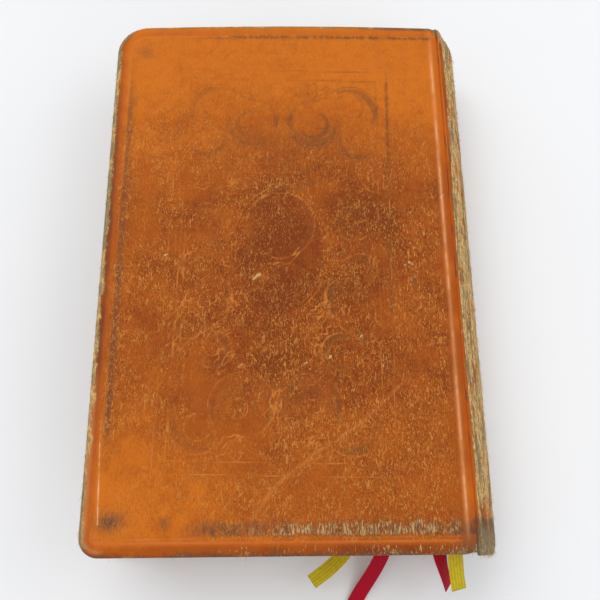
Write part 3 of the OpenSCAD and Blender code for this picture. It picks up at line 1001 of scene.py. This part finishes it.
def cover_colours(x, y, edge, seed, patches, pressed):
    """Tone, wear, dirt with a painted shade, fresh colour, flecks, painted highlights, scratches
    and lines over the outside of a cover.
    """
    broad, fine, trace = pressed
    inner = 1 - ease(ridge_x - 2.5, ridge_x - 0.5, x)
    slant = y + 0.1 * x
    low_left = ease(-35, -62, y) * ease(0, -35, x)

    # how deep the dye still is
    big = patches(30, 3)
    mid = patches(7, 4, 4)
    middle = bell(np.hypot((x - 2) / 46, (y + 6) / 58), 0, 0.9)
    calm = ease(20, 58, slant) + low_left
    tone = 0.575 + 0.28 * middle + (0.38 * (big - 0.5) + 0.52 * (mid - 0.5)) * (1 - 0.62 * calm)
    tone -= 0.5 * ease(14, 64, slant) + 0.36 * ease(-22, -68, y) * ease(30, -44, x)
    tone -= 0.06 * ease(-42, -70, y) + 0.08 * ease(-30, -48, x)
    tone -= 0.22 * ease(ridge_x, ridge_x + 1, x)
    # darker along the fore-edge roll and at the tail rim
    tone += 0.3 * bell(edge, 2.0, 1.2) * ease(-49, -51, x) + 0.3 * ease(-75.4, -77, y)

    # dirt along the fore-edge, in stains and in the worn band at the tail, and a painted shade on
    # the fore-edge roll
    dirt = 0.8 * ease(-46, -49.2, x) * ease(72, 40, y) * ease(-56, -46, y)
    dirt *= ease(4.6, 5.3, edge) * ease(9.5, 5.2, edge)
    dirt *= 0.35 + patches(5, 5, tall=0.4)
    for spot_x, spot_y, squeeze, size, strength in stains:
        dirt += strength * bell(np.hypot(x - spot_x, (y - spot_y) * squeeze), 0, size)
    upper = y + head_y + 2.4 * (patches(0.9, 6, tall=0.2) - 0.5)
    tail_band = ease(4.7, 5.3, y + head_y) * ease(9.3, 7.0, upper)
    dirt += tail_band * ease(-30, -20, x) * (0.1 + 1.0 * patches(0.8, 6, 2, wide=1.4, tall=0.25))
    # painted shade: a purple-brown band on the fore-edge roll, between the rim and the tool line
    dirt += 0.3 * bell(edge, 2.2, 0.9) * ease(-49, -51, x) * ease(70, 30, y) * ease(-50, -30, y)

    # fresh dye kept in the tool line and beyond the joint ridge
    tail_end = ease(-60, -72, y)
    fresh = bell(edge, line_in - 0.8, 0.7) * (0.2 + 0.5 * mid) * inner * (1 - 0.6 * tail_end)
    fresh += 0.8 * bell(edge, line_in - 0.6, 0.32) * inner * tail_end
    fresh += ease(ridge_x + 0.2, ridge_x + 1.0, x) * (0.25 - 0.2 * ease(46.2, 47, x))

    # hide rubbed bare on the rims, at the spine corners, in the tail band and in scuffs
    ragged = patches(2.8, 7) - 0.5 + 0.7 * (patches(0.7, 18, 2) - 0.5)
    head_side = ease(76, 78, y)
    tail_side = ease(-75.5, -77.5, y)
    rim_wear = 1 - ease(0.6, 2.4 - 1.0 * head_side - 1.2 * tail_side, edge + 1.4 * ragged)
    dirt += 0.75 * rim_wear * ease(0.25, 0.6, patches(3, 20, tall=0.6))
    wear = rim_wear * (0.85 - 0.55 * tail_side + 0.5 * (patches(7, 8) - 0.5))
    spine_corner = ease(39, 46, x) * ease(66, 78, np.abs(y))
    wear += 0.55 * spine_corner * ease(0.35, 0.7, patches(1.6, 14))
    dirt += 0.75 * spine_corner * tail_end
    dirt += 0.75 * ease(2.6, 1.2, edge) * head_side * ease(10, 38, x)
    clumps = ease(0.36, 0.6, patches(2.6, 9, 2, tall=0.7))
    frayed = tail_band * ease(-16, -3, x) * (1 - ease(40, 44, x)) * (0.3 + 0.8 * clumps)
    frayed += 0.3 * tail_band * ease(-34, -16, x)
    frayed += 0.8 * ease(-74.8, -77.2, y) * ease(-40, -5, x) * (0.3 + patches(4, 23))
    wear += 0.3 * middle * ease(0.62, 0.8, patches(2.1, 10, tall=0.7))
    specks = ease(0.45, 0.72, patches(0.8, 15, 2, wide=1.6, tall=0.6))
    wear += 0.16 * ease(-74.6, -77.4, y) * ease(-30, 20, x) * specks
    wear += 0.6 * bell(np.hypot(x + 53.4, (y + 71) * 0.5), 0, 1.0)
    torn_edge = patches(0.6, 11, 2, wide=1.6)
    for spot_x, spot_y, size in scuff_spots:
        apart = np.hypot(x - spot_x - 0.6 * (y - spot_y), (y - spot_y) * 1.2)
        apart = apart + (torn_edge - 0.5) * 2.4 * size
        wear += 0.62 * bell(apart, 0, size)
    groove = ease(ridge_x - 0.6, ridge_x + 0.3, x) * (1 - ease(46.2, 47.0, x))
    wear *= 1 - 0.85 * groove * (1 - spine_corner)

    # flecks in the grain, away from the pressed lines
    fleck = 0.26 + 0.84 * ease(60, 18, slant) * ease(0.2, 0.62, patches(11, 12))
    past_roll = ease(4.5, 6, edge)
    on_face = past_roll * inner
    cut = np.maximum(broad, fine) * past_roll
    fleck *= (1 - 0.45 * cut) * ease(2.2, 4.5, edge) * inner
    fleck *= 1 - 0.55 * low_left

    # painted highlights on the tool line's lip, the joint ridge, the fore-edge roll, a bright line
    # on the fore-edge and the tail tool line, then pale scratches
    broken = 0.45 + 0.8 * ease(0.35, 0.6, patches(5, 16))
    pale = 0.34 * bell(edge, line_in + 0.45, 0.17) * inner * broken * (1 - 0.5 * head_side)
    pale += 0.75 * bell(x, ridge_x - 0.1, 0.55) * ease(79, 66, np.abs(y)) * (0.5 + 0.5 * broken)
    pale += 0.4 * bell(edge, 1.5, 0.7) * ease(-24, -44, y) * ease(-46, -50, x)
    pale += 1.0 * stroke(x, y, fore_highlight_line, 0.24) * ease(-40, -50, y) * (0.55 + 0.45 * broken)
    pale += 0.25 * bell(edge, line_in - 0.5, 0.25) * ease(-70, -73, y) * inner
    pale += 0.3 * stroke(x, y, scratch_long, 0.42) * broken
    pale += 0.16 * stroke(x, y, scratch_short, 0.4)
    draw = np.random.default_rng(seed + 19)
    for _ in range(70):
        here = draw.normal((0, -8), (20, 30))
        lean, long = draw.uniform(0, pi), draw.uniform(0.6, 2.6)
        there = here + (long * cos(lean), long * sin(lean))
        pale += draw.uniform(0.15, 0.6) * stroke(x, y, [here, there], draw.uniform(0.16, 0.32))

    # the ornament, dark in the head half and drawn lighter in the tail half
    low_half = ease(34, 22, y)
    shown = 0.3 + 0.8 * ease(0.34, 0.66, patches(10, 13))
    drawn = trace * (0.5 + 0.5 * low_half) * (0.72 + 0.3 * shown) * on_face
    # a painted highlight on the shoulders of the broad pressed lines
    pale += 0.12 * bell(broad, 0.35, 0.16) * on_face
    dots = ease(0.34, 0.56, patches(0.9, 22, 2, wide=1.3, tall=0.7))
    head_line = bell(edge, line_in + 0.8, 0.7) * ease(60, 74, y)
    head_line *= ease(44.6, 43.6, x) * ease(-36, -10, x)
    lines = 1.2 * (head_line + stroke(x, y, dark_line, 0.36)) * (0.3 + 0.7 * dots)
    tooling = (0.66 * broad + (0.55 - 0.4 * low_half) * fine) * on_face * shown
    tooling *= 0.55 + 0.45 * ease(-12, -2, x)
    ovals = ease(1.04, 0.94, np.hypot((x + 3.3) / 9.2, (y - 10.5) / 9.6))
    ovals += 0.7 * ease(1.04, 0.96, np.hypot((x + 3.5) / 13.2, (y - 3) / 19)) * (1 - ovals)
    tone += 0.13 * ovals - 0.06 * cut * low_half
    fleck *= 1 - 0.35 * ovals
    values = {
        "tone": tone, "dirt": dirt, "fresh": fresh, "fleck": fleck, "pale": pale,
        "tooling": tooling + lines, "frayed": frayed, "drawn": drawn,
    }
    values = {name: np.clip(value, 0, 1) for name, value in values.items()}
    return {**values, "wear": np.clip(wear, 0, 1.2)}


roll_rows = roll_w * (1 - np.cos(np.linspace(0, pi / 2, 12)[:-1]))
fine_pace, face_pace = 0.25, 0.5
across = np.concatenate([
    fore_x + roll_rows,
    runs((fore_x + roll_w, fine_pace), (-47, face_pace), (41, fine_pace * 0.9), (spine_edge, 1)),
])
half = runs((0, face_pace), (68, fine_pace), (head_y - roll_w, 1))
half = np.concatenate([half[:-1], (head_y - roll_rows)[::-1]])
along = np.concatenate([-half[:0:-1], half])
inside_steps = (0, 0.25, 0.8, 1.6, 2.2, 3.0, 3.4, 7, 12.5, 12.6)
inside_spine = (47.2, 47.15, 46.9, 46, 45.2, 44.6, 44.2, 43.9, 43.7, 43.6)
inside_z = (equator, 27.3, 26.75, 26.45, 26.35, 26.3, 26.3, 26.3, 26.3, 26.7)


def cover_leather(side, seed):
    """The whole skin of one cover: outside, turned edges and turn-ins."""
    grid_v, grid_u = np.meshgrid(along, across, indexing="ij")
    rows, cols = grid_u.shape
    edge = np.minimum(grid_u - fore_x, head_y - np.abs(grid_v)).ravel()
    x, y = (c.ravel() for c in rounded(grid_u, grid_v))
    pressed = press_depth(x, y)

    def patches(size, number, octaves=3, wide=1, tall=1):
        return cloud(x * wide, y * tall, size, seed + number, octaves)

    high = cover_heights(x, y, edge, patches, pressed)
    points = [np.stack([x, y, high], 1)]
    faces, ring = grid_faces(rows, cols), grid_rim(rows, cols)
    rim_u, rim_v = grid_u.ravel()[ring], grid_v.ravel()[ring]
    share = (rim_u - fore_x) / (spine_edge - fore_x)
    before, start = ring, rows * cols
    for inset, right, level in zip(inside_steps[1:], inside_spine[1:], inside_z[1:]):
        u = fore_x + inset + share * (right - fore_x - inset)
        lx, ly = rounded(u, rim_v * (head_y - inset) / head_y)
        lz = np.maximum(level, 26.3 + 1.5 * ease(43.0, 44.5, lx))
        points.append(np.stack([lx, ly, lz], 1))
        here = list(range(start, start + len(ring)))
        nxt = here[1:] + here[:1]
        faces += list(zip(before, here, nxt, before[1:] + before[:1]))
        before, start = here, start + len(ring)
    faces.append(tuple(before[::-1]))
    points = np.concatenate(points)
    if side == "front":
        points[:, 2] = book_t - points[:, 2]
    made = solid(side + "_cover_leather", points, faces, leather)
    paint(made, cover_colours(x, y, edge, seed, patches, pressed))
    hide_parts(side + "_leather")
    return made


back_skin = cover_leather("back", 3)
front_skin = cover_leather("front", 40)


# ---------------------------------------------------------------- spine leather
# The same skin, glued at the two joints and drawn round the hollow spine, with its ends turned in
# over the cap cords. Handling has rubbed it down to cracked, brownish hide.
spine_r = 16.33
spine_reach = radians(57)
spine_half = 78.9
skin_t = 0.7
cap_start, cap_draw = 73.5, (1.9, 0.6)
lap_arc = radians(35), radians(52)


def spine_leather():
    """A closed skin round the back, thick at its folded ends."""
    y = runs((0, 0.45), (70, 0.3), (spine_half, 1))
    y = np.concatenate([-y[:0:-1], y])
    angle = np.linspace(-spine_reach, spine_reach, 121)
    grid_a, grid_y = np.meshgrid(angle, y, indexing="ij")
    run = grid_a * spine_r
    drawn = np.where(grid_y > 0, *cap_draw)
    drawn = drawn * (1 - 0.85 * ease(*lap_arc, np.abs(grid_a)))
    drawn = drawn * (np.clip(np.abs(grid_y) - cap_start, 0, 9) / (spine_half - cap_start)) ** 3
    rough = 0.16 * (cloud(run, grid_y, 1.1, 71) - 0.5)
    rough += 0.3 * (cloud(run * 1.6, grid_y * 0.22, 2.2, 72) - 0.5)
    rough *= ease(spine_reach, spine_reach - 0.12, np.abs(grid_a))
    cracks = ease(0.06, 0.0, np.abs(cloud(run * 1.5, grid_y * 0.12, 1.5, 73, 2) - 0.5))
    outer = spine_r - drawn + rough - 0.18 * cracks
    inner = spine_r - drawn - skin_t
    lip, bead_r = 6, 0.4
    bead = np.linspace(0, pi, lip + 2)[1:-1]
    rows = []
    for a, out, low in zip(angle, outer, inner):
        ring = list(zip(out, y))
        mid = (out + low) / 2
        ring += [(mid[-1] + skin_t / 2 * cos(b), y[-1] + bead_r * sin(b)) for b in bead]
        ring += list(zip(low[::-1], y[::-1]))
        ring += [(mid[0] - skin_t / 2 * cos(b), y[0] - bead_r * sin(b)) for b in bead]
        rows += [(spine_x + r * cos(a), v, mid_z + r * sin(a)) for r, v in ring]
    n, m = len(y), 2 * len(y) + 2 * lip
    faces = tube_faces(len(angle), m)
    for base, flip in ((0, 1), ((len(angle) - 1) * m, -1)):
        for j in range(n - 1):
            quad = (base + j, base + 2 * n + lip - 1 - j, base + 2 * n + lip - 2 - j, base + j + 1)
            faces.append(quad[::flip])
        faces.append(tuple(base + j for j in range(n - 1, n + lip + 1))[::-flip])
        faces.append(tuple([base + j for j in range(2 * n + lip - 1, m)] + [base])[::-flip])
    made = solid("spine_skin", rows, faces, leather)
    v = np.array([c[1] for c in rows])
    a = np.repeat(angle, m)
    s = a * spine_r
    side = np.abs(s) / (spine_reach * spine_r)
    caps = ease(71, 77, np.abs(v))
    wear = 0.72 + 0.6 * (cloud(s, v, 5, 74) - 0.5) + 0.25 * caps - 0.5 * ease(0.95, 0.99, side)
    wear += 0.5 * (cloud(s * 1.4, v * 0.25, 1.6, 77) - 0.5)
    left = ease(0.52, 0.66, cloud(s * 1.2, v * 0.3, 3.4, 80, 3))
    lap = 2.3 * ease(-30, 62, v) + 0.9 * (cloud(s, v * 0.6, 2, 81) - 0.5)
    lapped = ease(lap + 0.3, lap - 0.3, spine_reach * spine_r - s)
    wear -= 0.18 * left + 0.9 * lapped * (1 - 0.8 * caps)
    cracks = ease(0.1, 0.02, np.abs(cloud(s * 1.5, v * 0.12, 1.5, 73, 2) - 0.5))
    tail_cap = ease(-69.6, -71, v + 0.8 * (cloud(s, v, 2, 79) - 0.5))
    grime = 0.35 * caps * ease(0.1, 0.5, cloud(s, v, 2.5, 75)) + 0.95 * tail_cap + 0.9 * cracks
    paint(made, {
        "tone": 0.45 + 0.5 * (cloud(s, v, 9, 76) - 0.5), "wear": np.clip(wear, 0, 1),
        "dirt": np.clip(grime, 0, 1), "fresh": 0.5 * ease(0.93, 1, side) * (1 - caps),
        "fleck": 0 * s, "tooling": 0 * s, "frayed": 0 * s, "drawn": 0 * s,
        "pale": 0.3 * bell(np.abs(s), 11.2, 0.5) * ease(0.4, 0.7, cloud(s, v * 0.3, 4, 78)),
    })
    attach(made, "text_block")
    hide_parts("spine_leather")
    return made


spine_skin = spine_leather()


# ---------------------------------------------------------------- raised fibres
# Short torn fibres of the hide stand up where the skin is rubbed through.
def fibre_recipe():
    """Tapered hairs strewn over a skin where it is worn, lying mostly along the book."""
    recipe = Recipe("torn_fibres", Density="Float", Length="Float", Thickness="Float", Seed="Int")
    worn = recipe.node("InputNamedAttribute", {"Name": "wear"}, data_type="FLOAT")
    strewn = {"Mesh": recipe.start["Geometry"], "Seed": recipe.start["Seed"]}
    strewn["Density"] = recipe.maths("POWER", worn, 3.0) * recipe.start["Density"]
    strewn = recipe.node("DistributePointsOnFaces", strewn)
    hair = {"Vertices": 3, "Radius Bottom": recipe.start["Thickness"]}
    hair |= {"Depth": recipe.start["Length"], "Radius Top": 0.00001}
    hair = recipe.node("MeshCone", hair)
    lean = {0: (1.2, -0.25, -0.7), 1: (1.72, 0.25, 0.7), "Seed": 5}
    lean = recipe.node("FunctionNodeRandomValue", lean, data_type="FLOAT_VECTOR")
    long = {2: 0.35, 3: 1.3, "Seed": 6}
    long = recipe.node("FunctionNodeRandomValue", long, 1, data_type="FLOAT")
    laid = {"Points": strewn, "Instance": hair, "Rotation": lean, "Scale": long}
    recipe.close(recipe.node("InstanceOnPoints", laid))
    return recipe


def fibre_stuff():
    finish = Finish("torn_fibre", Roughness=0.85)
    shade = finish.noise(finish.place(), 0.6, 3.0)
    colour = finish.mix(shade.above(0.35, 0.65), (0.3, 0.19, 0.09), (0.62, 0.44, 0.24))
    finish.shade(Base_Color=colour)
    return finish.material


torn_fibres = fibre_recipe()
torn_fibre = fibre_stuff()
for skin, seed, density in ((back_skin, 1, 2.6e6), (front_skin, 2, 2.0e6), (spine_skin, 3, 3.0e6)):
    fibres = torn_fibres.lay(
        skin.name + "_fibres", skin.data.copy(), Density=density, Length=1.1 * MM,
        Thickness=0.045 * MM, Seed=seed, Material=torn_fibre,
    )
    if skin is spine_skin:
        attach(fibres, "text_block")
        continue
    body = skin.name.split("_")[0] + "_cover"
    for piece in (skin, fibres):
        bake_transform(piece)
